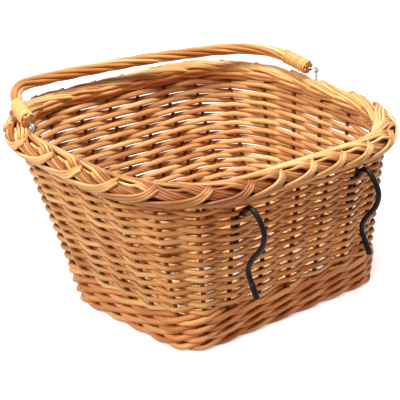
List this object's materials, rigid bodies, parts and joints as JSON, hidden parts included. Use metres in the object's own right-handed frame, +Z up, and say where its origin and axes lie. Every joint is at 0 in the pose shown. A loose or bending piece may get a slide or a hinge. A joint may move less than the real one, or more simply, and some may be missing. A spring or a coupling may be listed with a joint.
{
  "type": "bicycle basket",
  "caption": "Woven willow handlebar basket with a wide plaited border, a roped bow handle that swings on wire ties and coated wire hooks on its back wall.",
  "frame": {"origin": "centre of the bounding box on the plane that the basket stands on", "axes": "+Z up; X along the back wall, +X to the right when looking at the hooks; the hooks are on the -Y side and the front leans out towards +Y"},
  "size_m": [0.3836, 0.3328, 0.2062],
  "materials": {
    "willow": "split and whole willow rods, stained orange-tan, thin clear varnish",
    "pale_willow": "pale honey willow rods, thin clear varnish",
    "coated_wire": "black plastic coating on steel wire, satin",
    "tie_wire": "galvanised binding wire"
  },
  "bodies": {
    "basket": {"base_stick_1": "pale_willow", "base_stick_2": "pale_willow", "base_stick_3": "pale_willow", "base_stick_4": "pale_willow", "base_stick_5": "pale_willow", "base_weave": "willow", "base_wale": "willow", "stake_01": "willow", "stake_02": "willow", "stake_03": "willow", "stake_04": "willow", "stake_05": "willow", "stake_06": "willow", "stake_07": "willow", "stake_08": "willow", "stake_09": "willow", "stake_10": "willow", "stake_11": "willow", "stake_12": "willow", "stake_13": "willow", "stake_14": "willow", "stake_15": "willow", "stake_16": "willow", "stake_17": "willow", "stake_18": "willow", "stake_19": "willow", "stake_20": "willow", "stake_21": "willow", "stake_22": "willow", "stake_23": "willow", "stake_24": "willow", "stake_25": "willow", "stake_26": "willow", "stake_27": "willow", "side_weave": "willow", "plaited_border": "pale_willow", "hook_left": "coated_wire", "hook_right": "coated_wire", "hook_sleeve_left": "coated_wire", "hook_sleeve_right": "coated_wire", "hinge_staple_left": "tie_wire", "hinge_staple_right": "tie_wire"},
    "handle": {"handle_bow": "willow", "whipping_left": "pale_willow", "whipping_right": "pale_willow", "hinge_eye_left": "tie_wire", "hinge_eye_right": "tie_wire"}
  },
  "joints": [
    {"name": "handle_swing", "type": "hinge", "parent": "basket", "child": "handle", "pos_m": [0.00545, 0.04637, 0.18585], "axis": [0.9899, -0.1411, 0.0117], "range_deg": [0, 173]}
  ]
}
